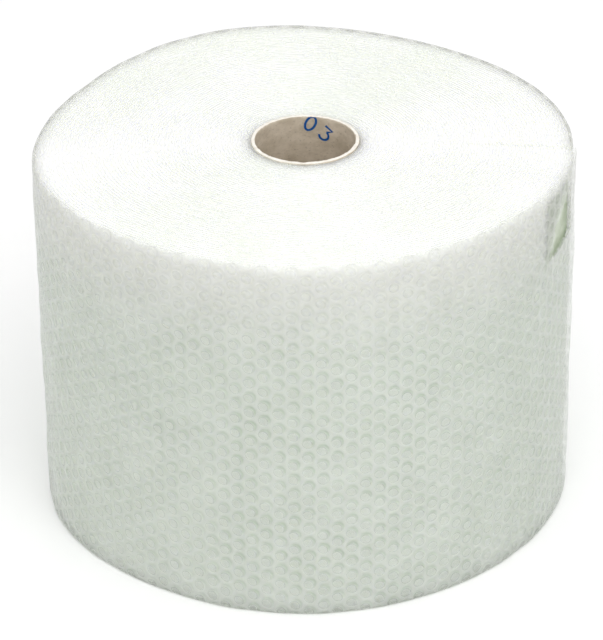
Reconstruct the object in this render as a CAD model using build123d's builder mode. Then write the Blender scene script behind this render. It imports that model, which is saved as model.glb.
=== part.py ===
"""Roll of air-bubble film wound on a paperboard tube, standing on its end.

The origin is on the tube's axis at the base, +Z is up, and sizes are millimetres.
"""

import os
from math import cos, pi, radians, sin

from build123d import *

# ---- the winding ---------------------------------------------------------------
web_width = 300.0  # width of the film, and so the height of the roll on its end
wound_radius = 205.0  # mean radius of the winding
web_thickness = 2.7  # one turn of film as wound, a little pressed
wound_centre = (-1.9, 0.2)  # the winding sits slightly off the tube's axis
rim_round = 2.0  # soft edge at both ends of the winding
tail_angle = -5.0  # degrees, where the cut end of the film lies
outline_spans = 24  # spline spans once round, enough to carry five lobes

# What pulls the winding out of round: lobes in one turn, height, direction in degrees.
swells = (
    (2, 0.4, -25.0),
    (3, 2.8, -17.0),
    (4, 2.9, 13.0),
    (5, 0.9, -29.0),
)

# ---- the gap pulled open in the outermost turn ----------------------------------
# Places are measured back from the cut end along the turn, and down from the rim.
gap_top = (43.0, 13.0)
gap_corner = (39.0, 50.0)
gap_tip = (79.0, 57.0)
gap_bow = 6.0  # how far the edge from the tip to the top bows outwards

# ---- the tube --------------------------------------------------------------------
bore_radius = 38.5
tube_wall = 3.0
mouth_softening = 0.8  # worn edge of the bore at each end
winding_clearance = 0.1  # between the tube and the innermost turn

tube_radius = bore_radius + tube_wall


def edge_point(turn, inset=0.0):
    """A point of the outermost turn: turn is 0 just past the cut end and 1 at the cut end."""
    angle = radians(tail_angle) + 2 * pi * turn
    radius = wound_radius + web_thickness * (turn - 0.5) - inset
    for lobes, height, direction in swells:
        radius += height * cos(lobes * (angle - radians(direction)))
    x, y = wound_centre
    return Vector(x + radius * cos(angle), y + radius * sin(angle))


def outermost_turn(inset=0.0):
    """The closed outline of the winding, with its one small step at the cut end."""
    with BuildLine() as outline:
        turn = Spline(*[edge_point(i / outline_spans, inset) for i in range(outline_spans + 1)])
        Line(turn @ 1, turn @ 0)
    return outline.line


os.makedirs("parts", exist_ok=True)

# The gap goes one turn deep, down to the surface of the turn below.
gap_middle = (gap_corner[0] + gap_tip[0]) / 2
gap_angle = tail_angle - 360 * gap_middle / (2 * pi * wound_radius)
outward = Vector(1, 0, 0).rotate(Axis.Z, gap_angle)
along = Vector(0, 1, 0).rotate(Axis.Z, gap_angle)

with BuildPart() as gap:
    with BuildSketch():
        make_face(outermost_turn(-web_thickness))
        make_face(outermost_turn(web_thickness), mode=Mode.SUBTRACT)
    extrude(amount=web_width)
    with BuildSketch(Plane((0, 0, web_width), x_dir=along, z_dir=outward)):
        with BuildLine():
            top, corner, tip = [
                Vector(gap_middle - back, -down) for back, down in (gap_top, gap_corner, gap_tip)
            ]
            bowed = (top + tip) / 2 + (top - tip).normalized().rotate(Axis.Z, 90) * gap_bow
            Line(top, corner)
            Line(corner, tip)
            ThreePointArc(tip, bowed, top)
        make_face()
    extrude(amount=2 * wound_radius, mode=Mode.INTERSECT)

with BuildPart() as bubble_wrap:
    with BuildSketch():
        make_face(outermost_turn())
    extrude(amount=web_width)
    turn_edges = bubble_wrap.edges().filter_by(GeomType.BSPLINE)
    fillet(turn_edges, radius=rim_round)
    add(gap.part, mode=Mode.SUBTRACT)
    with BuildSketch():
        Circle(tube_radius + winding_clearance)
    extrude(amount=web_width, mode=Mode.SUBTRACT)

with BuildPart() as core_tube:
    with BuildSketch():
        Circle(tube_radius)
        Circle(bore_radius, mode=Mode.SUBTRACT)
    extrude(amount=web_width)
    mouths = core_tube.edges().filter_by(GeomType.CIRCLE).group_by(SortBy.RADIUS)[0]
    fillet(mouths, radius=mouth_softening)

bubble_wrap.part.label = "bubble_wrap"
core_tube.part.label = "core_tube"
export_step(bubble_wrap.part, "parts/bubble_wrap.step")
export_step(core_tube.part, "parts/core_tube.step")
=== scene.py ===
"""Looks of the roll of air-bubble film: the wound film, its bubbles, its cut end and the paperboard tube.

Everything is in metres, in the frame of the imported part. Lengths written with MM are millimetres.
"""

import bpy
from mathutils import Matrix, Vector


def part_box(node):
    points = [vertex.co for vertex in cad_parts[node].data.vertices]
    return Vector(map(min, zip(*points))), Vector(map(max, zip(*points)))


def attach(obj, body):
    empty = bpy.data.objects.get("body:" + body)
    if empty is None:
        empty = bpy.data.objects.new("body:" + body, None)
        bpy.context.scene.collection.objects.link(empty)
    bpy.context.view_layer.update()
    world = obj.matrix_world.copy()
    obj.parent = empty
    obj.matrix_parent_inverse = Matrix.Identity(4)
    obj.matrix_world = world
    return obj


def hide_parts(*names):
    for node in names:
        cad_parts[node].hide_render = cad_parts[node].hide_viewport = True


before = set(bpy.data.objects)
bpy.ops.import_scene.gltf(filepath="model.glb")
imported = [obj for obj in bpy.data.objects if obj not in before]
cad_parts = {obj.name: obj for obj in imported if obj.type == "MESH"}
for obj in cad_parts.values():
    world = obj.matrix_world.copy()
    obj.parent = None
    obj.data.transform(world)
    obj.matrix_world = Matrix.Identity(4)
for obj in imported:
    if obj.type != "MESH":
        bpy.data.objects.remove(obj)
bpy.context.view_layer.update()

from math import cos, hypot, pi, radians, sin, sqrt, tau

import bpy
import numpy as np
from mathutils import Euler, Quaternion, Vector

bl_info = {
    "name": "Bubble film roll",
    "version": (1, 0, 0),
    "blender": (4, 5, 0),
    "location": "View3D > Sidebar > Film roll",
    "description": "Builds a roll of air-bubble film on its paperboard tube",
    "category": "Object",
}

MM = 0.001
BODY = "root"


# ---- the winding, read off the CAD --------------------------------------------------


class Winding:
    """The outline of the wound film: a spiral of one turn, pulled out of round by a few lobes."""

    RAYS = 720
    LOBES = 8

    def __init__(self, node_name):
        low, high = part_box(node_name)
        self.base, self.top = low.z, high.z
        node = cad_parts[node_name]
        angles = np.arange(self.RAYS) * tau / self.RAYS
        radii = np.array([self._wall(node, angle) for angle in angles])
        drops = radii - np.roll(radii, -1)
        step = int(np.argmax(drops))
        self.tail_angle = angles[step] + pi / self.RAYS
        self.thickness = float(drops[step])
        turns = ((angles - self.tail_angle) / tau) % 1.0
        even = radii - self.thickness * (turns - 0.5)
        self.lobes = np.fft.rfft(even)[: self.LOBES] / self.RAYS
        self.turn_table = np.linspace(-0.02, 1.0, 4001)
        x, y = self._plan(self.turn_table, 0.0)
        steps = np.hypot(np.diff(x), np.diff(y))
        run = np.concatenate([[0.0], np.cumsum(steps)])
        self.run_table = run - np.interp(0.0, self.turn_table, run)
        self.length = float(self.run_table[-1])

    def _wall(self, node, angle):
        """Distance from the axis to the CAD wall at mid height."""
        outward = Vector((cos(angle), sin(angle), 0))
        middle = Vector((0, 0, (self.base + self.top) / 2))
        hit, place, _, _ = node.ray_cast(middle + outward, -outward)
        if not hit:
            raise RuntimeError("the wound film has no wall at this angle")
        return hypot(place.x, place.y)

    def _plan(self, turns, inset):
        angles = self.tail_angle + tau * turns
        radii = np.full_like(angles, self.lobes[0].real)
        for k in range(1, self.LOBES):
            radii += 2 * (self.lobes[k] * np.exp(1j * k * angles)).real
        radii += self.thickness * (turns - 0.5) - inset
        return radii * np.cos(angles), radii * np.sin(angles)

    def place(self, run, height, inset):
        """Points at a run along the outermost turn, a height and a depth under its surface."""
        turns = np.interp(run, self.run_table, self.turn_table)
        x, y = self._plan(turns, inset)
        return np.column_stack([x, y, height])

    def radius(self, angles):
        """Distance from the axis to the outermost surface at these angles."""
        x, y = self._plan(((angles - self.tail_angle) / tau) % 1.0, 0.0)
        return np.hypot(x, y)


class Waves:
    """Smooth uneven heights over a sheet: a sum of sine waves of chosen lengths."""

    def __init__(self, seed, shortest, longest, count=14):
        draw = np.random.default_rng(seed)
        lengths = shortest * (longest / shortest) ** draw.random(count)
        directions = draw.random(count) * tau
        self.along = np.cos(directions) * tau / lengths
        self.up = np.sin(directions) * tau / lengths
        self.phase = draw.random(count) * tau
        self.share = np.sqrt(lengths / longest)
        self.share /= np.sqrt((self.share**2).sum() / 2)

    def at(self, run, height):
        total = np.zeros(np.broadcast(run, height).shape)
        for a, u, p, s in zip(self.along, self.up, self.phase, self.share):
            total += s * np.sin(a * run + u * height + p)
        return total


# ---- meshes --------------------------------------------------------------------------


def make_piece(name, points, faces, material, surface=None, replaces=()):
    """A mesh object that rides on the roll. surface holds one (run, height) pair a point."""
    mesh = bpy.data.meshes.new(name)
    mesh.from_pydata(points.tolist(), [], faces)
    mesh.validate()
    mesh.shade_smooth()
    if surface is not None:
        corners = np.zeros(len(mesh.loops), np.int32)
        mesh.loops.foreach_get("vertex_index", corners)
        layer = mesh.uv_layers.new(name="surface")
        layer.data.foreach_set("uv", surface[corners].astype(np.float32).ravel())
    piece = bpy.data.objects.new(name, mesh)
    bpy.context.scene.collection.objects.link(piece)
    mesh.materials.append(material)
    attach(piece, BODY)
    if replaces:
        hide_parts(*replaces)
    return piece


def ring_points(radius, angles, height):
    """Points round the axis. The height may be one number or one for each point."""
    x, y = radius * np.cos(angles), radius * np.sin(angles)
    return np.column_stack([x, y, np.broadcast_to(height, x.shape)])


def grid_faces(columns, rows, closed=False):
    """Quads of a grid whose points run row by row, each row holding this many columns."""
    last = columns if closed else columns - 1
    left = np.arange(last)
    right = (left + 1) % columns
    start = np.arange(rows - 1)[:, None] * columns
    quads = [start + left, start + right, start + columns + right, start + columns + left]
    return np.stack(quads, -1).reshape(-1, 4)


# ---- materials -----------------------------------------------------------------------


class Shader:
    """A new material's node tree, with short calls for adding and linking nodes."""

    def __init__(self, name):
        self.material = bpy.data.materials.new(name)
        self.material.use_nodes = True
        self.tree = self.material.node_tree
        self.tree.nodes.clear()
        self.output = self.add("OutputMaterial")

    def add(self, kind, settings=None, **inputs):
        """A node of type ShaderNode<kind>. An input is a value or another node's socket."""
        node = self.tree.nodes.new("ShaderNode" + kind)
        for name, value in (settings or {}).items():
            setattr(node, name, value)
        for name, value in inputs.items():
            self.feed(self.find(node, name), value)
        return node

    def find(self, node, name):
        """The input with this name, in lower case with underscores, or with this place: i0, i1..."""
        for socket in node.inputs:
            if socket.enabled and socket.name.lower().replace(" ", "_") == name:
                return socket
        return node.inputs[int(name.lstrip("i"))]

    def feed(self, socket, value):
        """Links another node's socket to this input, or sets the input's own value."""
        if isinstance(value, bpy.types.NodeSocket):
            self.tree.links.new(value, socket)
        else:
            socket.default_value = value

    def math(self, operation, first, second):
        return self.add("Math", {"operation": operation}, i0=first, i1=second).outputs[0]

    def ramp(self, value, low, high, to_low=0.0, to_high=1.0):
        """value rescaled smoothly from low..high to to_low..to_high."""
        node = self.add(
            "MapRange",
            {"interpolation_type": "SMOOTHSTEP"},
            value=value,
            from_min=low,
            from_max=high,
            to_min=to_low,
            to_max=to_high,
        )
        return node.outputs[0]

    def blend(self, factor, first, second):
        """A colour between two."""
        node = self.add("Mix", {"data_type": "RGBA"})
        for place, value in ((0, factor), (6, first), (7, second)):
            self.feed(node.inputs[place], value)
        return node.outputs[2]

    def noise(self, vector, scale, detail=2.0, roughness=0.5):
        node = self.add("TexNoise", vector=vector, scale=scale, detail=detail, roughness=roughness)
        return node.outputs[0]

    def mix_shaders(self, factor, first, second):
        return self.add("MixShader", i0=factor, i1=first, i2=second).outputs[0]

    def finish(self, surface):
        self.tree.links.new(surface, self.output.inputs["Surface"])
        return self.material


def colour(values):
    return (*values, 1.0)


def grey(level):
    return (level, level, level, 1.0)


def background_rays(tree):
    """1 for rays that see the background, straight or in a reflection, and 0 for those that light."""
    rays = tree.nodes.new("ShaderNodeLightPath").outputs
    seen = rays["Is Camera Ray"]
    for kind in ("Is Transmission Ray", "Is Glossy Ray"):
        either = tree.nodes.new("ShaderNodeMath")
        either.operation = "MAXIMUM"
        tree.links.new(seen, either.inputs[0])
        tree.links.new(rays[kind], either.inputs[1])
        seen = either.outputs[0]
    return seen


def bubble_pattern(shader, run_height, pitch, shift=(0.0, 0.0)):
    """Distance, in metres, to the nearest bubble's centre in the close-packed pattern."""
    across, up = pitch * sqrt(3), pitch
    cell = (across, up, 1.0)
    distances = []
    for half in (0.0, 0.5):
        offset = (shift[0] + half * across, shift[1] + half * up, 0.0)
        moved = shader.add("VectorMath", {"operation": "ADD"}, i0=run_height, i1=offset)
        centred = shader.add(
            "VectorMath", {"operation": "WRAP"}, i0=moved.outputs[0], i1=cell, i2=(0.0, 0.0, 0.0)
        )
        back = shader.add(
            "VectorMath",
            {"operation": "SUBTRACT"},
            i0=centred.outputs[0],
            i1=(across / 2, up / 2, 0.0),
        )
        distances.append(shader.add("VectorMath", {"operation": "LENGTH"}, i0=back.outputs[0]))
    return shader.math("MINIMUM", distances[0].outputs["Value"], distances[1].outputs["Value"])


# The pattern's first bubble: a share of the column spacing back from the cut end, and of the
# pitch up from the base.
FIRST_COLUMN = 0.35
FIRST_ROW = 0.3


def sheet_shift(sizes):
    """Lines the bubbles in the materials up with the modelled ones."""
    across = sizes.pitch * sqrt(3)
    return ((0.5 + FIRST_COLUMN / 2) * across - winding.length, (0.5 - FIRST_ROW) * sizes.pitch)


def bubble_marks(shader, place, sizes, shift=(0.0, 0.0)):
    """Where the bubbles are, and the crescent of painted shade that darkens the upper side of each.

    The crescent leans one way over most of the turn and the other way towards the cut end.
    """
    radius = sizes.bubble_radius
    bubble = shader.ramp(bubble_pattern(shader, place, sizes.pitch, shift), radius, radius * 0.84)
    run = shader.add("SeparateXYZ", i0=place).outputs[0]
    lean = shader.ramp(run, winding.length * 0.72, winding.length * 0.94, -0.34, 0.38)
    slide = shader.add("CombineXYZ", i0=shader.math("MULTIPLY", lean, -radius), i1=radius * 0.42)
    moved = shader.add("VectorMath", {"operation": "ADD"}, i0=place, i1=slide.outputs[0]).outputs[0]
    inner = shader.ramp(bubble_pattern(shader, moved, sizes.pitch, shift), radius * 1.02, radius * 0.72)
    crescent = shader.math("MULTIPLY", bubble, shader.math("SUBTRACT", 1.0, inner))
    return bubble, crescent


def painted_light_near_ends(shader, place):
    """Mask of painted light: 1 at the roll's ends, falling to 0 where light from the ends no longer
    reaches.
    """
    height = shader.add("SeparateXYZ", i0=place).outputs[1]
    from_top = shader.ramp(height, winding.top - 105 * MM, winding.top + 12 * MM)
    from_base = shader.ramp(height, winding.base + 60 * MM, winding.base - 60 * MM)
    return shader.math("MAXIMUM", from_top, shader.math("MULTIPLY", from_base, 0.25))


def clear_film_material(sizes):
    """The outermost sheet: clear and glossy, with fine drawn wrinkles and a little haze."""
    s = Shader("clear_film")
    place = s.add("UVMap", {"uv_map": "surface"}).outputs[0]
    stretched = s.add("Mapping", vector=place, scale=(1.0, 2.4, 1.0)).outputs[0]
    wrinkles = s.noise(stretched, 90.0, 4.0, 0.55)
    ripples = s.noise(place, 320.0, 2.0)
    bump = s.add("Bump", strength=0.25, distance=1.0 * MM, height=wrinkles)
    fine = s.add("Bump", strength=0.12, distance=0.4 * MM, height=ripples, normal=bump.outputs[0])
    normal = fine.outputs[0]
    haze = s.ramp(s.noise(place, 28.0, 3.0, 0.6), 0.35, 0.7, 0.05, 0.16)
    clear = s.add("BsdfTransparent", color=colour(sizes.film_tint)).outputs[0]
    milky = s.add("BsdfDiffuse", color=colour(sizes.land_colour), normal=normal).outputs[0]
    body = s.mix_shaders(haze, clear, milky)
    gloss = s.add("BsdfGlossy", roughness=0.22, normal=normal).outputs[0]
    edge = s.add("Fresnel", ior=1.45, normal=normal).outputs[0]
    return s.finish(s.mix_shaders(s.math("MULTIPLY", edge, 0.8), body, gloss))


def bubble_material(sizes):
    """The formed sheet: milky where it is welded flat, clearer over each bubble."""
    s = Shader("bubble_sheet")
    place = s.add("UVMap", {"uv_map": "surface"}).outputs[0]
    bubble, crescent = bubble_marks(s, place, sizes, sheet_shift(sizes))
    cloud = s.noise(place, 45.0, 3.0)
    patch = s.noise(place, 9.0, 2.0)
    land = s.blend(s.ramp(cloud, 0.3, 0.7), colour(sizes.land_colour), colour(sizes.land_shade))
    dome = s.blend(s.ramp(patch, 0.3, 0.7), colour(sizes.dome_colour), colour(sizes.dome_shade))
    tone = s.blend(bubble, land, dome)
    strength = s.ramp(s.noise(place, 24.0, 3.0), 0.32, 0.62, 0.25, 1.0)
    # Painted shade: a darker crescent along the upper side of each bubble.
    tone = s.blend(s.math("MULTIPLY", crescent, strength), tone, colour(sizes.painted_bubble_shade))
    # Painted light: the sheet is painted lighter towards the roll's ends.
    tone = s.blend(painted_light_near_ends(s, place), tone, colour(sizes.end_tone_and_painted_light))
    bump = s.add("Bump", strength=0.2, distance=0.5 * MM, height=s.noise(place, 260.0, 3.0))
    film = s.add(
        "BsdfPrincipled",
        base_color=tone,
        roughness=0.32,
        normal=bump.outputs[0],
        specular_ior_level=0.5,
    ).outputs[0]
    clear = s.add("BsdfTransparent", color=colour(sizes.film_tint)).outputs[0]
    # The painted shade crescents and the welded film are kept less clear than the rest of the bubble.
    milk = s.blend(crescent, s.blend(bubble, grey(0.5), grey(0.26)), grey(0.6))
    return s.finish(s.mix_shaders(milk, clear, film))


def gap_material(sizes):
    """The turn laid bare in the gap: the shade of the outer turn over its bubbles is painted dark into
    its colour.
    """
    s = Shader("turn_in_gap")
    place = s.add("UVMap", {"uv_map": "surface"}).outputs[0]
    _, crescent = bubble_marks(s, place, sizes)
    cloud = s.ramp(s.noise(place, 50.0, 3.0), 0.3, 0.7)
    # Painted shadow, darker in random patches.
    tone = s.blend(cloud, colour(sizes.gap_painted_shadow), colour(sizes.gap_painted_deep_shadow))
    # Painted shade: the bubbles' crescents go darker still.
    tone = s.blend(s.math("MULTIPLY", crescent, 0.6), tone, colour(sizes.gap_painted_deep_shadow))
    bump = s.add("Bump", strength=0.4, distance=1.0 * MM, height=s.noise(place, 120.0, 3.0))
    film = s.add("BsdfPrincipled", base_color=tone, roughness=0.3, normal=bump.outputs[0])
    return s.finish(film.outputs[0])


def wound_end_material(sizes):
    """The ends of the wound film: painted brighter, for the light that every turn lying open there takes
    in.
    """
    s = Shader("wound_ends")
    place = s.add("TexCoord").outputs["Object"]
    cloud = s.ramp(s.noise(place, 30.0, 3.0), 0.3, 0.7)
    tone = s.blend(cloud, colour(sizes.end_tone_and_painted_light), colour(sizes.land_colour))
    film = s.add(
        "BsdfPrincipled",
        base_color=tone,
        roughness=0.5,
        subsurface_weight=1.0,
        subsurface_radius=(1.0, 1.0, 0.9),
        subsurface_scale=sizes.light_depth,
    )
    return s.finish(film.outputs[0])


def wound_material(sizes):
    """The turns behind: white film that light sinks into and leaves again."""
    s = Shader("wound_film")
    place = s.add("UVMap", {"uv_map": "surface"}).outputs[0]
    bubble, crescent = bubble_marks(s, place, sizes, sheet_shift(sizes))
    tone = s.blend(bubble, colour(sizes.land_colour), colour(sizes.dome_colour))
    # Painted shade: a darker crescent along the upper side of each bubble.
    tone = s.blend(s.math("MULTIPLY", crescent, 0.75), tone, colour(sizes.painted_bubble_shade))
    uneven = s.ramp(s.noise(place, 14.0, 3.0), 0.3, 0.75, 0.0, 0.35)
    tone = s.blend(uneven, tone, colour(sizes.land_shade))
    # Painted light: the turns are painted lighter towards the roll's ends.
    tone = s.blend(painted_light_near_ends(s, place), tone, colour(sizes.end_tone_and_painted_light))
    bump = s.add("Bump", strength=0.15, distance=0.5 * MM, height=s.noise(place, 200.0, 3.0))
    film = s.add(
        "BsdfPrincipled",
        base_color=tone,
        roughness=0.4,
        subsurface_weight=1.0,
        subsurface_radius=(1.0, 1.0, 0.9),
        subsurface_scale=sizes.light_depth,
        normal=bump.outputs[0],
    )
    return s.finish(film.outputs[0])


def edge_material(sizes):
    """Slit edges of the film on the roll's ends."""
    s = Shader("film_edges")
    place = s.add("UVMap", {"uv_map": "surface"}).outputs[0]
    cloud = s.noise(place, 60.0, 3.0)
    # The slit edges mix the ends' painted lighter tone with the welded film's, at random.
    tone = s.blend(s.ramp(cloud, 0.3, 0.7), colour(sizes.end_tone_and_painted_light), colour(sizes.land_colour))
    film = s.add("BsdfPrincipled", base_color=tone, roughness=0.3).outputs[0]
    clear = s.add("BsdfTransparent", color=colour(sizes.film_tint)).outputs[0]
    return s.finish(s.mix_shaders(s.ramp(cloud, 0.2, 0.8, 0.12, 0.3), clear, film))


def paperboard_material(sizes):
    """Grey-brown recycled board, mottled, with dark flecks and pale fibres."""
    s = Shader("paperboard")
    place = s.add("TexCoord").outputs["Object"]
    around = s.add("Mapping", vector=place, scale=(1.0, 1.0, 1.6)).outputs[0]
    mottle = s.ramp(s.noise(around, 55.0, 5.0, 0.65), 0.32, 0.68)
    flecks = s.ramp(s.noise(around, 420.0, 2.0, 0.6), 0.56, 0.72)
    fibres = s.ramp(s.noise(around, 950.0, 3.0, 0.7), 0.45, 0.7)
    tone = s.blend(mottle, colour(sizes.board_light), colour(sizes.board_dark))
    tone = s.blend(s.math("MULTIPLY", flecks, 0.35), tone, colour(sizes.board_fleck))
    tone = s.blend(s.math("MULTIPLY", fibres, 0.25), tone, colour(sizes.board_fibre))
    height = s.math("ADD", s.math("MULTIPLY", mottle, 0.4), fibres)
    bump = s.add("Bump", strength=0.5, distance=0.25 * MM, height=height)
    board = s.add(
        "BsdfPrincipled",
        base_color=tone,
        roughness=0.88,
        specular_ior_level=0.25,
        normal=bump.outputs[0],
    )
    return s.finish(board.outputs[0])


def board_end_material(sizes):
    """The cut ends of the tube: cream board in soft patches."""
    s = Shader("board_end")
    place = s.add("TexCoord").outputs["Object"]
    cloud = s.ramp(s.noise(place, 160.0, 4.0, 0.6), 0.35, 0.7)
    tone = s.blend(cloud, colour(sizes.end_light), colour(sizes.end_dark))
    bump = s.add("Bump", strength=0.5, distance=0.3 * MM, height=s.noise(place, 900.0, 3.0))
    board = s.add(
        "BsdfPrincipled",
        base_color=tone,
        roughness=0.9,
        specular_ior_level=0.2,
        normal=bump.outputs[0],
    )
    return s.finish(board.outputs[0])


def ink_material(sizes):
    """Blue printing ink, soaked unevenly into the board."""
    s = Shader("print_ink")
    place = s.add("TexCoord").outputs["Object"]
    worn = s.ramp(s.noise(place, 700.0, 3.0, 0.6), 0.45, 0.75)
    tone = s.blend(worn, colour(sizes.ink_colour), colour(sizes.ink_worn))
    ink = s.add("BsdfPrincipled", base_color=tone, roughness=0.7, specular_ior_level=0.3)
    return s.finish(ink.outputs[0])


def floor_material(stage):
    """Pale floor: bright to the eye, a little quieter in the light it throws back."""
    s = Shader("studio_floor")
    tone = s.blend(background_rays(s.tree), colour(stage.floor_bounce), colour(stage.floor_seen))
    floor = s.add("BsdfPrincipled", base_color=tone, roughness=0.9, specular_ior_level=0.1)
    return s.finish(floor.outputs[0])


# ---- sizes and colours a user would change --------------------------------------------


def length_property(name, description, default):
    return bpy.props.FloatProperty(
        name=name, description=description, default=default, unit="LENGTH", subtype="DISTANCE"
    )


def colour_property(name, description, default):
    return bpy.props.FloatVectorProperty(
        name=name, description=description, default=default, subtype="COLOR", min=0.0, max=1.0
    )


class FilmSettings(bpy.types.PropertyGroup):
    """Sizes and colours of the bubble film"""

    pitch: length_property("Bubble pitch", "Between neighbouring bubbles", 12.42 * MM)
    bubble_radius: length_property("Bubble radius", "Half a bubble's width", 5.0 * MM)
    bubble_depth: length_property("Bubble depth", "How far a wound bubble stands", 1.35 * MM)
    film_gap: length_property("Film gap", "Between the flat sheet and the bubbles' rims", 0.25 * MM)
    film_step: length_property("Film step", "Spacing of the flat sheet's points", 2.3 * MM)
    undulation: length_property("Undulation", "Unevenness of the outer surface", 0.25 * MM)
    edge_depth: length_property("Edge depth", "How deep the ends are open between turns", 1.8 * MM)
    light_depth: length_property("Light depth", "How far light sinks into the roll", 20.0 * MM)
    film_tint: colour_property("Film tint", "What clear film lets through", (0.99, 0.995, 0.985))
    land_colour: colour_property("Welded film", "Film welded flat", (0.965, 0.985, 0.955))
    land_shade: colour_property("Welded film, dull", "Duller patches", (0.93, 0.96, 0.915))
    dome_colour: colour_property("Bubble film", "Film over a bubble", (0.93, 0.965, 0.915))
    dome_shade: colour_property("Bubble film, dull", "Duller bubbles", (0.89, 0.935, 0.875))
    # The film's tone at its slit ends, painted lighter for the light the open ends take in; also the
    # painted light on the side near the ends.
    end_tone_and_painted_light: colour_property("Slit ends", "Film seen at its slit edges", (0.985, 0.98, 0.965))
    painted_bubble_shade: colour_property("Bubble shadow", "Shaded side of a bubble", (0.66, 0.74, 0.64))
    # Painted shadow: the turn in the gap is coloured dark for the shade of the outer turn over it.
    gap_painted_shadow: colour_property("Gap", "The turn laid bare in the gap", (0.52, 0.58, 0.45))
    gap_painted_deep_shadow: colour_property("Gap, shaded", "Shaded parts of the gap", (0.38, 0.45, 0.31))


class TubeSettings(bpy.types.PropertyGroup):
    """Sizes and colours of the paperboard tube"""

    raggedness: length_property("Raggedness", "Unevenness of the cut ends", 0.35 * MM)
    board_light: colour_property("Board, light", "Light patches", (0.68, 0.60, 0.49))
    board_dark: colour_property("Board, dark", "Dark patches", (0.50, 0.43, 0.33))
    board_fleck: colour_property("Flecks", "Dark flecks", (0.16, 0.13, 0.10))
    board_fibre: colour_property("Fibres", "Pale fibres", (0.66, 0.58, 0.48))
    end_light: colour_property("Cut end, light", "Cut board", (0.93, 0.90, 0.84))
    end_dark: colour_property("Cut end, dark", "Cut board in patches", (0.82, 0.77, 0.68))
    ink_colour: colour_property("Ink", "Printed digits", (0.0, 0.075, 0.30))
    ink_worn: colour_property("Ink, worn", "Where the ink is thin", (0.03, 0.13, 0.36))
    stroke: length_property("Stroke", "Width of a printed line", 1.9 * MM)


class StageSettings(bpy.types.PropertyGroup):
    """Floor, light and camera"""

    floor_seen: colour_property("Floor", "Floor as seen", (1.0, 1.0, 1.0))
    floor_bounce: colour_property("Floor bounce", "Floor as it lights the roll", (0.93, 0.93, 0.93))
    distance: length_property("Distance", "Camera to the middle of the roll", 2.5904)
    elevation: bpy.props.FloatProperty(
        name="Elevation", description="Camera above level", default=radians(29.664), subtype="ANGLE"
    )
    focal: bpy.props.FloatProperty(
        name="Focal length", description="In millimetres, on a 36 mm sensor", default=184.83
    )
    sky: bpy.props.FloatProperty(
        name="Sky", description="Strength of the light from all round", default=0.92
    )
    overhead: bpy.props.FloatProperty(
        name="Overhead lamp", description="Power in watts", default=16.0, unit="POWER"
    )


# ---- the film ------------------------------------------------------------------------

winding = Winding("bubble_wrap")
tube_low, tube_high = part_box("core_tube")


class PulledGap:
    """The gap pulled open in the outermost turn, as an outline of (back from the cut end, down)."""

    TOP = (43.0 * MM, 13.0 * MM)
    CORNER = (39.0 * MM, 50.0 * MM)
    TIP = (79.0 * MM, 57.0 * MM)
    BOW = 6.0 * MM  # how far the edge from the tip to the top bows outwards

    def __init__(self):
        top, corner, tip = (np.array(p) for p in (self.TOP, self.CORNER, self.TIP))
        chord = top - tip
        side = np.array([-chord[1], chord[0]]) / np.hypot(*chord)
        if side @ (corner - tip) > 0:
            side = -side
        shares = np.linspace(0, 1, 13)[:, None]
        bowed = tip + shares * chord + 4 * shares * (1 - shares) * self.BOW * side
        self.outline = np.vstack([top, corner, bowed[:-1]])

    def reach(self, run, height):
        """Signed distance to the gap's edge, below zero inside it, and the nearest edge point."""
        place = np.column_stack([winding.length - run, winding.top - height])
        best = np.full(len(place), np.inf)
        nearest = np.zeros_like(place)
        inside = np.zeros(len(place), bool)
        for start, end in zip(self.outline, np.roll(self.outline, -1, axis=0)):
            edge = end - start
            share = np.clip((place - start) @ edge / (edge @ edge), 0, 1)[:, None]
            foot = start + share * edge
            distance = np.hypot(*(place - foot).T)
            closer = distance < best
            best[closer] = distance[closer]
            nearest[closer] = foot[closer]
            crosses = (start[1] > place[:, 1]) != (end[1] > place[:, 1])
            rise = np.where(crosses, edge[1] if edge[1] else 1.0, 1.0)
            cut = start[0] + (place[:, 1] - start[1]) / rise * edge[0]
            inside ^= crosses & (place[:, 0] < cut)
        edge_run = winding.length - nearest[:, 0]
        edge_height = winding.top - nearest[:, 1]
        return np.where(inside, -best, best), edge_run, edge_height


pulled_gap = PulledGap()

# Folds in the outermost sheet: points as (angle in degrees, height), ridge height and half width,
# with all lengths in millimetres.
FOLDS = (
    (((-96, 211), (-86, 214), (-74, 217), (-62, 213), (-52, 207), (-40, 199)), 0.5, 1.6),
    (((-52, 207), (-44, 193), (-36, 178), (-29, 166)), 0.35, 1.6),
    (((-33.4, 287), (-32.6, 262), (-32.2, 236)), 1.0, 1.8),
    (((-30.8, 284), (-30.4, 262), (-31.0, 240)), 0.9, 1.6),
    (((-28.6, 280), (-28.4, 262), (-29.4, 232)), 0.8, 1.6),
    (((-31.6, 238), (-29.6, 231), (-26.8, 222)), 0.9, 2.2),
)


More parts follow.
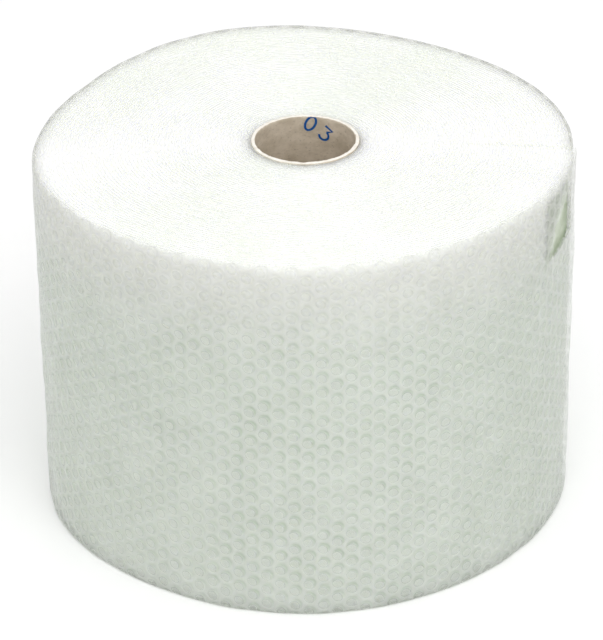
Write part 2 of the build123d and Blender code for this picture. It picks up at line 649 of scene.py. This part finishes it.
def fold_heights(run, height):
    """How far the folds lift the sheet outwards."""
    lift = np.zeros(len(run))
    tail = np.degrees(winding.tail_angle)
    for points, ridge, half_width in FOLDS:
        angles = np.array([a for a, _ in points], float)
        turns = ((angles - tail) / 360.0) % 1.0
        runs = np.interp(turns, winding.turn_table, winding.run_table)
        line = np.column_stack([runs, [z * MM for _, z in points]])
        best = np.full(len(run), np.inf)
        along = np.zeros(len(run))
        for i, (start, end) in enumerate(zip(line, line[1:])):
            edge = end - start
            place = np.column_stack([run, height]) - start
            share = np.clip(place @ edge / (edge @ edge), 0, 1)
            distance = np.hypot(*(place - share[:, None] * edge).T)
            closer = distance < best
            best[closer] = distance[closer]
            along[closer] = (i + share[closer]) / (len(line) - 1)
        fade = np.sin(pi * np.clip(along, 0.04, 0.96)) ** 0.4
        lift = np.maximum(lift, ridge * MM * fade * np.exp(-((best / (half_width * MM)) ** 2)))
    return lift


def surface_lift(settings, run, height):
    """Outward unevenness of the outermost turn: slow waves, soft rims and the lifted cut end."""
    rim_drop, rim_reach = 1.8 * MM, 2.2 * MM
    tail_lift, tail_reach, tail_wave = 0.45 * MM, 7 * MM, 23 * MM
    lift = settings.undulation * Waves(3, 25 * MM, 140 * MM).at(run, height)
    to_rim = np.minimum(winding.top - height, height - winding.base)
    lift -= rim_drop * np.exp(-((np.maximum(to_rim, 0) / rim_reach) ** 1.5))
    to_tail = winding.length - run
    lift += tail_lift * np.exp(-to_tail / tail_reach) * (1 + 0.5 * np.sin(height / tail_wave))
    return lift


class WRAP_OT_wound_turns(bpy.types.Operator):
    """The turns under the outermost one, as one closed body with open-edged ends"""

    bl_idname = "wrap.wound_turns"
    bl_label = "Wound turns"

    COLUMNS = 480
    WALL_ROWS = 40
    END_RINGS = 16
    TUBE_GAP = 0.1 * MM  # between the innermost turn and the tube

    def execute(self, context):
        settings = context.scene.wrap_film
        angles = np.arange(self.COLUMNS) * tau / self.COLUMNS
        outer = winding.radius(angles) - winding.thickness
        inner = np.full(self.COLUMNS, tube_high.x + self.TUBE_GAP)
        low, high = winding.base + settings.edge_depth, winding.top - settings.edge_depth
        shares = np.linspace(0, 1, self.END_RINGS)
        rows = [(inner + (outer - inner) * s, low) for s in shares]
        rows += [(outer, z) for z in np.linspace(low, high, self.WALL_ROWS)[1:-1]]
        rows += [(inner + (outer - inner) * s, high) for s in shares[::-1]]
        points = [ring_points(radius, angles, z) for radius, z in rows]
        runs = (angles - winding.tail_angle) % tau / tau * winding.length
        surface = [np.column_stack([runs, np.full_like(r, z) + (outer - r)]) for r, z in rows]
        faces = grid_faces(self.COLUMNS, len(rows) + 1, closed=True)
        faces %= self.COLUMNS * len(rows)
        body = make_piece(
            "wound_turns",
            np.vstack(points),
            faces.tolist(),
            replaces=["bubble_wrap"],
            surface=np.vstack(surface),
            material=wound_material(settings),
        )
        body.data.materials.append(wound_end_material(settings))
        for face in body.data.polygons:
            face.material_index = 1 if abs(face.normal.z) > 0.5 else 0
        return {"FINISHED"}


class WRAP_OT_bubble_layer(bpy.types.Operator):
    """The formed sheet of the outermost turn, with its bubbles pointing inwards"""

    bl_idname = "wrap.bubble_layer"
    bl_label = "Bubble layer"

    SIDES = 12
    SECTORS = 4
    LAP = 8 * MM  # how far the sheet runs on under the cut end
    END_MARGIN = 0.3 * MM  # kept back from the cut end
    RIM_MARGIN = 0.2 * MM  # kept back from the roll's ends
    SMALLEST_FACE = 1e-9  # square metres
    GAP_MARGIN = 3 * MM  # how far the patch behind the gap runs past it
    GAP_DEPTH = 2.35 * MM
    # Rings of one bubble, from its rim inwards: share of the radius, share of the depth.
    RINGS = ((1.0, 0.0), (0.88, 0.38), (0.68, 0.74), (0.4, 0.94))

    def cells(self, settings):
        """Centres of the close-packed bubbles over the outermost turn."""
        across = settings.pitch * sqrt(3) / 2
        columns = int(winding.length / across) + 2
        rows = int((winding.top - winding.base) / settings.pitch) + 3
        i, j = np.meshgrid(np.arange(columns), np.arange(rows), indexing="ij")
        run = winding.length - (i + FIRST_COLUMN) * across
        height = winding.base + (j - 1 + 0.5 * (i % 2) + FIRST_ROW) * settings.pitch
        return np.column_stack([run.ravel(), height.ravel()])

    def cell_points(self, settings, centres):
        """(run, height, depth) of every point of every cell, cell by cell."""
        draw = np.random.default_rng(11)
        count = len(centres)
        turn = np.arange(self.SIDES) * tau / self.SIDES
        direction = np.column_stack([np.cos(turn), np.sin(turn)])
        on_corner = np.arange(self.SIDES) % 2 == 0
        reach = np.where(on_corner, settings.pitch / sqrt(3), settings.pitch / 2)
        depth = settings.bubble_depth * draw.uniform(0.72, 1.0, count)
        depth[draw.random(count) < 0.03] *= 0.45
        shift = draw.normal(0, 0.16 * MM, (count, 2))
        size = settings.bubble_radius * draw.uniform(0.96, 1.03, count)
        edge = centres[:, None] + direction * reach[:, None]
        blocks = [np.dstack([edge, np.zeros((count, self.SIDES))])]
        for radius_share, depth_share in self.RINGS:
            flat = (centres + shift)[:, None] + direction * (size * radius_share)[:, None, None]
            deep = np.repeat((depth * depth_share)[:, None], self.SIDES, 1)
            blocks.append(np.dstack([flat, deep]))
        middle = np.column_stack([centres + shift, depth])[:, None]
        return np.concatenate(blocks + [middle], axis=1)

    def cell_faces(self, count):
        """Quads from the cell's edge down to the last ring, and the fan of triangles inside it."""
        ring = np.arange(self.SIDES)
        after = (ring + 1) % self.SIDES
        quads = []
        for level in range(len(self.RINGS)):
            a, b = level * self.SIDES, (level + 1) * self.SIDES
            quads.append(np.column_stack([a + ring, a + after, b + after, b + ring]))
        last = len(self.RINGS) * self.SIDES
        fan = np.column_stack([last + ring, last + after, np.full(self.SIDES, last + self.SIDES)])
        step = (last + self.SIDES + 1) * np.arange(count)[:, None, None]
        quads = (np.vstack(quads)[None] + step).reshape(-1, 4)
        fans = (fan[None] + step).reshape(-1, 3)
        return quads, fans

    def keep(self, corners):
        """Faces that still have an area once clipped at the film's edges and outside the gap."""
        x, y = corners[..., 0], corners[..., 1]
        area = np.abs((x * np.roll(y, -1, 1) - y * np.roll(x, -1, 1)).sum(1)) / 2
        middle = corners[..., :2].mean(1)
        reach, _, _ = pulled_gap.reach(middle[:, 0], middle[:, 1])
        return (area > self.SMALLEST_FACE) & (reach > 0)

    def execute(self, context):
        settings = context.scene.wrap_film
        material = bubble_material(settings)
        centres = self.cells(settings)
        order = np.argsort(centres[:, 0], kind="stable")
        points = self.cell_points(settings, centres)
        low, high = winding.base + self.RIM_MARGIN, winding.top - self.RIM_MARGIN
        for number, chosen in enumerate(np.array_split(order, self.SECTORS), start=1):
            cells = points[chosen].reshape(-1, 3).copy()
            cells[:, 0] = np.clip(cells[:, 0], -self.LAP, winding.length - self.END_MARGIN)
            cells[:, 1] = np.clip(cells[:, 1], low, high)
            key, index = np.unique(np.round(cells, 6), axis=0, return_inverse=True)
            index = index.ravel()
            faces = []
            for block in self.cell_faces(len(chosen)):
                block = block[self.keep(cells[block])]
                faces += index[block].tolist()
            lift = surface_lift(settings, key[:, 0], key[:, 1])
            inset = settings.film_gap + key[:, 2] - lift
            make_piece(
                f"bubble_layer_{number}",
                winding.place(key[:, 0], key[:, 1], inset),
                faces,
                surface=key[:, :2],
                material=material,
            )
        self.turn_in_gap(settings)
        return {"FINISHED"}

    def turn_in_gap(self, settings):
        """The patch of the next turn that shows in the gap."""
        low = pulled_gap.outline.min(0) - self.GAP_MARGIN
        high = pulled_gap.outline.max(0) + self.GAP_MARGIN
        columns, rows = 24, 30
        across = np.linspace(low[0], high[0], columns)
        back, down = np.meshgrid(across, np.linspace(low[1], high[1], rows))
        run, height = winding.length - back.ravel(), winding.top - down.ravel()
        puffs = Waves(21, 9 * MM, 30 * MM).at(run, height)
        make_piece(
            "turn_in_gap",
            winding.place(run, height, self.GAP_DEPTH + 0.12 * MM * puffs),
            grid_faces(columns, rows)[:, ::-1].tolist(),
            surface=np.column_stack([run, height]),
            material=gap_material(settings),
        )


class WRAP_OT_clear_film(bpy.types.Operator):
    """The flat sheet on the outside, with its folds, its cut end and the gap pulled open in it"""

    bl_idname = "wrap.clear_film"
    bl_label = "Outer film"

    LAP = 6 * MM  # how far the sheet runs on under the cut end
    SNAP = 0.55  # points this near the gap's edge, as a share of the step, move onto it
    LIP = 1.1 * MM  # how far the gap's edge stands out
    LIP_REACH = 5 * MM

    def execute(self, context):
        settings = context.scene.wrap_film
        columns = int((winding.length + self.LAP) / settings.film_step)
        rows = int((winding.top - winding.base) / settings.film_step)
        run, height = np.meshgrid(
            np.linspace(-self.LAP, winding.length, columns),
            np.linspace(winding.base, winding.top, rows),
        )
        run, height = run.ravel(), height.ravel()
        reach, edge_run, edge_height = pulled_gap.reach(run, height)
        on_edge = np.abs(reach) < self.SNAP * settings.film_step
        run[on_edge], height[on_edge] = edge_run[on_edge], edge_height[on_edge]
        lift = surface_lift(settings, run, height) + fold_heights(run, height)
        lift += self.LIP * np.exp(-np.maximum(reach, 0) / self.LIP_REACH)
        faces = grid_faces(columns, rows)
        middle_run, middle_height = run[faces].mean(1), height[faces].mean(1)
        middle_reach, _, _ = pulled_gap.reach(middle_run, middle_height)
        faces = faces[middle_reach > 0]
        used = np.unique(faces)
        renumber = np.zeros(len(run), int)
        renumber[used] = np.arange(len(used))
        make_piece(
            "outer_film",
            winding.place(run[used], height[used], -lift[used]),
            renumber[faces].tolist(),
            surface=np.column_stack([run, height])[used],
            material=clear_film_material(settings),
        )
        return {"FINISHED"}


class WRAP_OT_end_edges(bpy.types.Operator):
    """Slit edges of every turn on both ends: the flat sheet, and the wavy one with the bubbles"""

    bl_idname = "wrap.end_edges"
    bl_label = "Film edges on the ends"

    EDGE = 0.22 * MM  # how thick a slit edge looks
    DEPTH = 3.2 * MM  # how far down the strips reach
    TUBE_GAP = 0.2 * MM
    SHEET_GAP = 0.25 * MM  # between the flat strip and the wavy one
    WAVY_DROP = 0.3 * MM  # how much lower the wavy strip ends
    FLAT_SAMPLES = 2.2  # points a bubble on the flat strip
    # Each end: its name, which way is out, points a bubble on the wavy strip, seed.
    ENDS = (("top", 1, 6, 5), ("base", -1, 4, 6))

    def spiral(self, settings, samples_a_bubble):
        """Angle, radius and run along the film, from the tube out to the turn below the outermost."""
        start = tube_high.x + self.TUBE_GAP
        finish = winding.lobes[0].real - winding.thickness
        turns = (finish - start) / winding.thickness
        across = settings.pitch * sqrt(3) / 2
        length = turns * pi * (start + finish)
        count = int(length / across * samples_a_bubble)
        share = np.sqrt(np.linspace((start / finish) ** 2, 1, count))
        share = (share - start / finish) / (1 - start / finish)
        angles = winding.tail_angle - (1 - share) * turns * tau
        radius = start + (winding.radius(angles) - winding.thickness - start) * share
        step = np.hypot(np.diff(radius), np.diff(angles) * (radius[1:] + radius[:-1]) / 2)
        run = np.concatenate([[0], np.cumsum(step)])
        return angles, radius, run

    def ribbon(self, angles, radius, run, level, depth, flat_top):
        """A strip standing on edge along the spiral. level is its slit edge's height."""
        rows = [(radius, level), (radius, level - depth)]
        if flat_top:
            rows = [(radius - self.EDGE, level - depth), (radius - self.EDGE, level), *rows]
        points = [ring_points(at, angles, z) for at, z in rows]
        surface = [np.column_stack([run, np.full_like(run, i * MM)]) for i in range(len(rows))]
        return np.vstack(points), grid_faces(len(run), len(rows)), np.vstack(surface)

    def execute(self, context):
        settings = context.scene.wrap_film
        material = edge_material(settings)
        across = settings.pitch * sqrt(3) / 2
        for name, up, wavy_samples, seed in self.ENDS:
            level = winding.top if up > 0 else winding.base
            uneven = Waves(seed, 30 * MM, 200 * MM)
            parts = []
            for wavy, samples in ((False, self.FLAT_SAMPLES), (True, wavy_samples)):
                angles, radius, run = self.spiral(settings, samples)
                x, y = radius * np.cos(angles), radius * np.sin(angles)
                drop = 0.25 * MM * (1.2 + uneven.at(x, y)) + 0.15 * MM * (1 + np.sin(run * 97.0))
                edge = level - up * np.maximum(drop, 0)
                if wavy:
                    bulge = np.maximum(np.sin(pi * run / across), 0) ** 0.6
                    bulge *= 0.55 + 0.45 * np.sin(run * 31.0) ** 2
                    radius = radius - self.SHEET_GAP - 0.8 * winding.thickness * bulge
                    edge = edge - up * self.WAVY_DROP
                parts.append(self.ribbon(angles, radius, run, edge, up * self.DEPTH, not wavy))
            counts = np.cumsum([0] + [len(p) for p, _, _ in parts])
            make_piece(
                f"film_edges_{name}",
                np.vstack([p for p, _, _ in parts]),
                np.vstack([f + c for (_, f, _), c in zip(parts, counts)]).tolist(),
                surface=np.vstack([s for _, _, s in parts]),
                material=material,
            )
        return {"FINISHED"}


# ---- the tube ------------------------------------------------------------------------


class WRAP_OT_core_tube(bpy.types.Operator):
    """The spiral-wound paperboard tube, with its seam and ragged cut ends"""

    bl_idname = "wrap.core_tube"
    bl_label = "Paperboard tube"

    COLUMNS = 300
    WALL = 3.0 * MM
    WALL_ROWS = 74
    WORN = 0.8 * MM  # worn edges of the cut ends
    SEAM_ANGLE = 3.6  # radians, where the seam meets the base
    SEAM_RISE = 130 * MM  # how far the seam climbs in one turn
    SEAM_HEIGHT = 0.25 * MM
    SEAM_WIDTH = 0.8 * MM
    CUT_DEPTH = 0.7 * MM  # how far the cut ends' paler board reaches

    def rows(self):
        """Cross-section of the wall, down the bore and up outside: (radius, height, how ragged)."""
        outer, inner = tube_high.x, tube_high.x - self.WALL
        low, high = tube_low.z, tube_high.z
        soft, plain = self.WORN, 4 * MM
        levels = np.linspace(high - plain, low + plain, self.WALL_ROWS)
        section = [(inner, z, 0.0) for z in levels]
        section += [(inner, low + soft, 0.3), (inner + soft, low, 0.5), (outer - soft / 2, low, 0.5)]
        section += [(outer, low + soft, 0.3), (outer, high - soft, 0.3)]
        section += [(outer - soft / 3, high, 1.0), (outer - 0.4 * self.WALL, high, 1.0)]
        section += [(inner + soft, high, 1.0), (inner + soft / 3, high - soft / 3, 1.0)]
        section += [(inner, high - 1.6 * soft, 0.5)]
        return section

    def execute(self, context):
        settings = context.scene.wrap_tube
        rough = Waves(8, 3 * MM, 40 * MM, count=24)
        angles = np.arange(self.COLUMNS) * tau / self.COLUMNS
        points = []
        section = self.rows()
        middle = (tube_low.z + tube_high.z) / 2
        for radius, height, ragged in section:
            seam_angle = self.SEAM_ANGLE + height * tau / self.SEAM_RISE
            off_seam = (angles - seam_angle + pi) % tau - pi
            seam = self.SEAM_HEIGHT * np.exp(-((off_seam * radius / self.SEAM_WIDTH) ** 2))
            jag = settings.raggedness * ragged * rough.at(radius * angles, radius)
            at = radius + seam * (ragged == 0.0) + 0.3 * np.abs(jag) * (ragged > 0.9)
            z = height - np.abs(jag) * np.sign(height - middle)
            points.append(ring_points(at, angles, z))
        count = len(section)
        faces = grid_faces(self.COLUMNS, count + 1, closed=True) % (self.COLUMNS * count)
        tube = make_piece(
            "paperboard_tube",
            np.vstack(points),
            faces[:, ::-1].tolist(),
            replaces=["core_tube"],
            material=paperboard_material(settings),
        )
        tube.data.materials.append(board_end_material(settings))
        for face in tube.data.polygons:
            to_end = min(tube_high.z - face.center.z, face.center.z - tube_low.z)
            face.material_index = 1 if to_end < self.CUT_DEPTH else 0
        return {"FINISHED"}


class WRAP_OT_core_print(bpy.types.Operator):
    """The plain digits printed inside the tube"""

    bl_idname = "wrap.core_print"
    bl_label = "Printed digits"

    INK_LIFT = 0.12 * MM  # keeps the ink clear of the bore's facets
    RIM_MARGIN = 0.6 * MM
    # Each digit: its strokes as points (across, up) in millimetres, its angle round the bore,
    # its depth below the rim, and its lean, with angles in degrees.
    DIGITS = {
        "digit_0": (
            [[(3.7 * cos(a), 6.2 * sin(a)) for a in np.linspace(pi / 2, pi / 2 + tau, 41)]],
            83.6,
            6.2,
            -27.0,
        ),
        "digit_3": (
            [
                [(-3.6, 5.8), (3.8, 5.8), (0.2, 1.6)],
                [
                    (0.2, 1.6),
                    *((0.1 + 3.9 * cos(a), -2.2 + 3.8 * sin(a)) for a in np.linspace(1.5, -2.7, 15)),
                ],
            ],
            66.0,
            13.6,
            -34.0,
        ),
    }

    def stroke(self, line, width):
        """A flat band along the points of a line: its left edge points, then its right ones."""
        line = np.array(line)
        step = np.gradient(line, axis=0)
        side = np.column_stack([-step[:, 1], step[:, 0]]) / np.hypot(*step.T)[:, None]
        return np.vstack([line + side * width / 2, line - side * width / 2])

    def execute(self, context):
        settings = context.scene.wrap_tube
        material = ink_material(settings)
        bore = tube_high.x - WRAP_OT_core_tube.WALL - self.INK_LIFT
        for name, (strokes, angle, depth, lean) in self.DIGITS.items():
            points, faces, start = [], [], 0
            for line in strokes:
                band = self.stroke(np.array(line) * MM, settings.stroke)
                turn = radians(lean)
                x = band[:, 0] * cos(turn) - band[:, 1] * sin(turn)
                y = band[:, 0] * sin(turn) + band[:, 1] * cos(turn)
                around = radians(angle) - x / bore
                height = tube_high.z + np.minimum(y - depth * MM, -self.RIM_MARGIN)
                points.append(ring_points(bore, around, height))
                faces += (grid_faces(len(line), 2) + start).tolist()
                start += len(band)
            make_piece(name, np.vstack(points), faces, material=material)
        return {"FINISHED"}


# ---- floor, light and camera -----------------------------------------------------------


class WRAP_OT_stage(bpy.types.Operator):
    """Pale floor, soft light from above and the camera"""

    bl_idname = "wrap.stage"
    bl_label = "Stage"

    FLOOR_HALF = 30.0
    FLOOR_GAP = 0.2 * MM
    LAMP_SIZE = 1.4
    LAMP_PLACE = (0.35, -1.35, 1.95)
    LAMP_TARGET = (0, 0, 0.2)
    TURN, TILT, ROLL = radians(0.115), radians(-0.196), radians(-0.692)  # frame the roll
    SENSOR = 36.0

    def floor(self, stage):
        mesh = bpy.data.meshes.new("floor")
        half = self.FLOOR_HALF
        corners = [(-half, -half, 0), (half, -half, 0), (half, half, 0), (-half, half, 0)]
        mesh.from_pydata(corners, [], [(0, 1, 2, 3)])
        mesh.materials.append(floor_material(stage))
        floor = bpy.data.objects.new("floor", mesh)
        floor.location.z = winding.base - self.FLOOR_GAP
        bpy.context.scene.collection.objects.link(floor)

    def sky(self, stage):
        world = bpy.data.worlds.new("studio")
        world.use_nodes = True
        nodes, links = world.node_tree.nodes, world.node_tree.links
        light = nodes["Background"]
        strength = nodes.new("ShaderNodeMapRange")
        strength.inputs["To Min"].default_value = stage.sky
        strength.inputs["To Max"].default_value = 1.0
        links.new(background_rays(world.node_tree), strength.inputs["Value"])
        links.new(strength.outputs[0], light.inputs["Strength"])
        light.inputs["Color"].default_value = (1.0, 1.0, 1.0, 1.0)
        bpy.context.scene.world = world

    def lamp(self, stage):
        data = bpy.data.lights.new("overhead", "AREA")
        data.energy, data.size = stage.overhead, self.LAMP_SIZE
        lamp = bpy.data.objects.new("overhead", data)
        lamp.location = self.LAMP_PLACE
        aim = Vector(self.LAMP_TARGET) - Vector(self.LAMP_PLACE)
        lamp.rotation_euler = aim.to_track_quat("-Z", "Y").to_euler()
        bpy.context.scene.collection.objects.link(lamp)

    def camera(self, stage):
        """The view: a long lens from a little above, turned a touch to frame the roll."""
        middle = Vector((0, 0, (winding.base + winding.top) / 2))
        back = Vector((0, -cos(stage.elevation), sin(stage.elevation)))
        data = bpy.data.cameras.new("camera")
        data.lens, data.sensor_width = stage.focal, self.SENSOR
        camera = bpy.data.objects.new("camera", data)
        camera.location = middle + stage.distance * back
        level = Euler((pi / 2 - stage.elevation + self.TILT, 0, self.TURN)).to_quaternion()
        camera.rotation_euler = (level @ Quaternion((0, 0, 1), self.ROLL)).to_euler()
        bpy.context.scene.collection.objects.link(camera)
        bpy.context.scene.camera = camera

    def execute(self, context):
        stage = context.scene.wrap_stage
        self.floor(stage)
        self.sky(stage)
        self.lamp(stage)
        self.camera(stage)
        context.scene.view_settings.view_transform = "Standard"
        # White film in narrow gaps goes grey unless its light bounces many times.
        context.scene.cycles.max_bounces = 24
        context.scene.cycles.diffuse_bounces = 16
        context.scene.cycles.transparent_max_bounces = 32
        return {"FINISHED"}


class VIEW3D_PT_wrap_roll(bpy.types.Panel):
    """The roll's steps and settings"""

    bl_idname = "VIEW3D_PT_wrap_roll"
    bl_label = "Bubble film roll"
    bl_space_type = "VIEW_3D"
    bl_region_type = "UI"
    bl_category = "Film roll"

    def draw(self, context):
        for step in STEPS:
            self.layout.operator(step.bl_idname)
        for group in (context.scene.wrap_film, context.scene.wrap_tube, context.scene.wrap_stage):
            box = self.layout.box()
            for name in group.__annotations__:
                box.prop(group, name)


SETTINGS = {"wrap_film": FilmSettings, "wrap_tube": TubeSettings, "wrap_stage": StageSettings}
STEPS = (
    WRAP_OT_wound_turns,
    WRAP_OT_bubble_layer,
    WRAP_OT_clear_film,
    WRAP_OT_end_edges,
    WRAP_OT_core_tube,
    WRAP_OT_core_print,
    WRAP_OT_stage,
)
CLASSES = (*SETTINGS.values(), *STEPS, VIEW3D_PT_wrap_roll)


def register():
    for item in CLASSES:
        bpy.utils.register_class(item)
    for name, group in SETTINGS.items():
        setattr(bpy.types.Scene, name, bpy.props.PointerProperty(type=group))


def unregister():
    for name in SETTINGS:
        delattr(bpy.types.Scene, name)
    for item in reversed(CLASSES):
        bpy.utils.unregister_class(item)


def main():
    register()
    for step in STEPS:
        area, name = step.bl_idname.split(".")
        getattr(getattr(bpy.ops, area), name)()


if __name__ == "__main__":
    main()
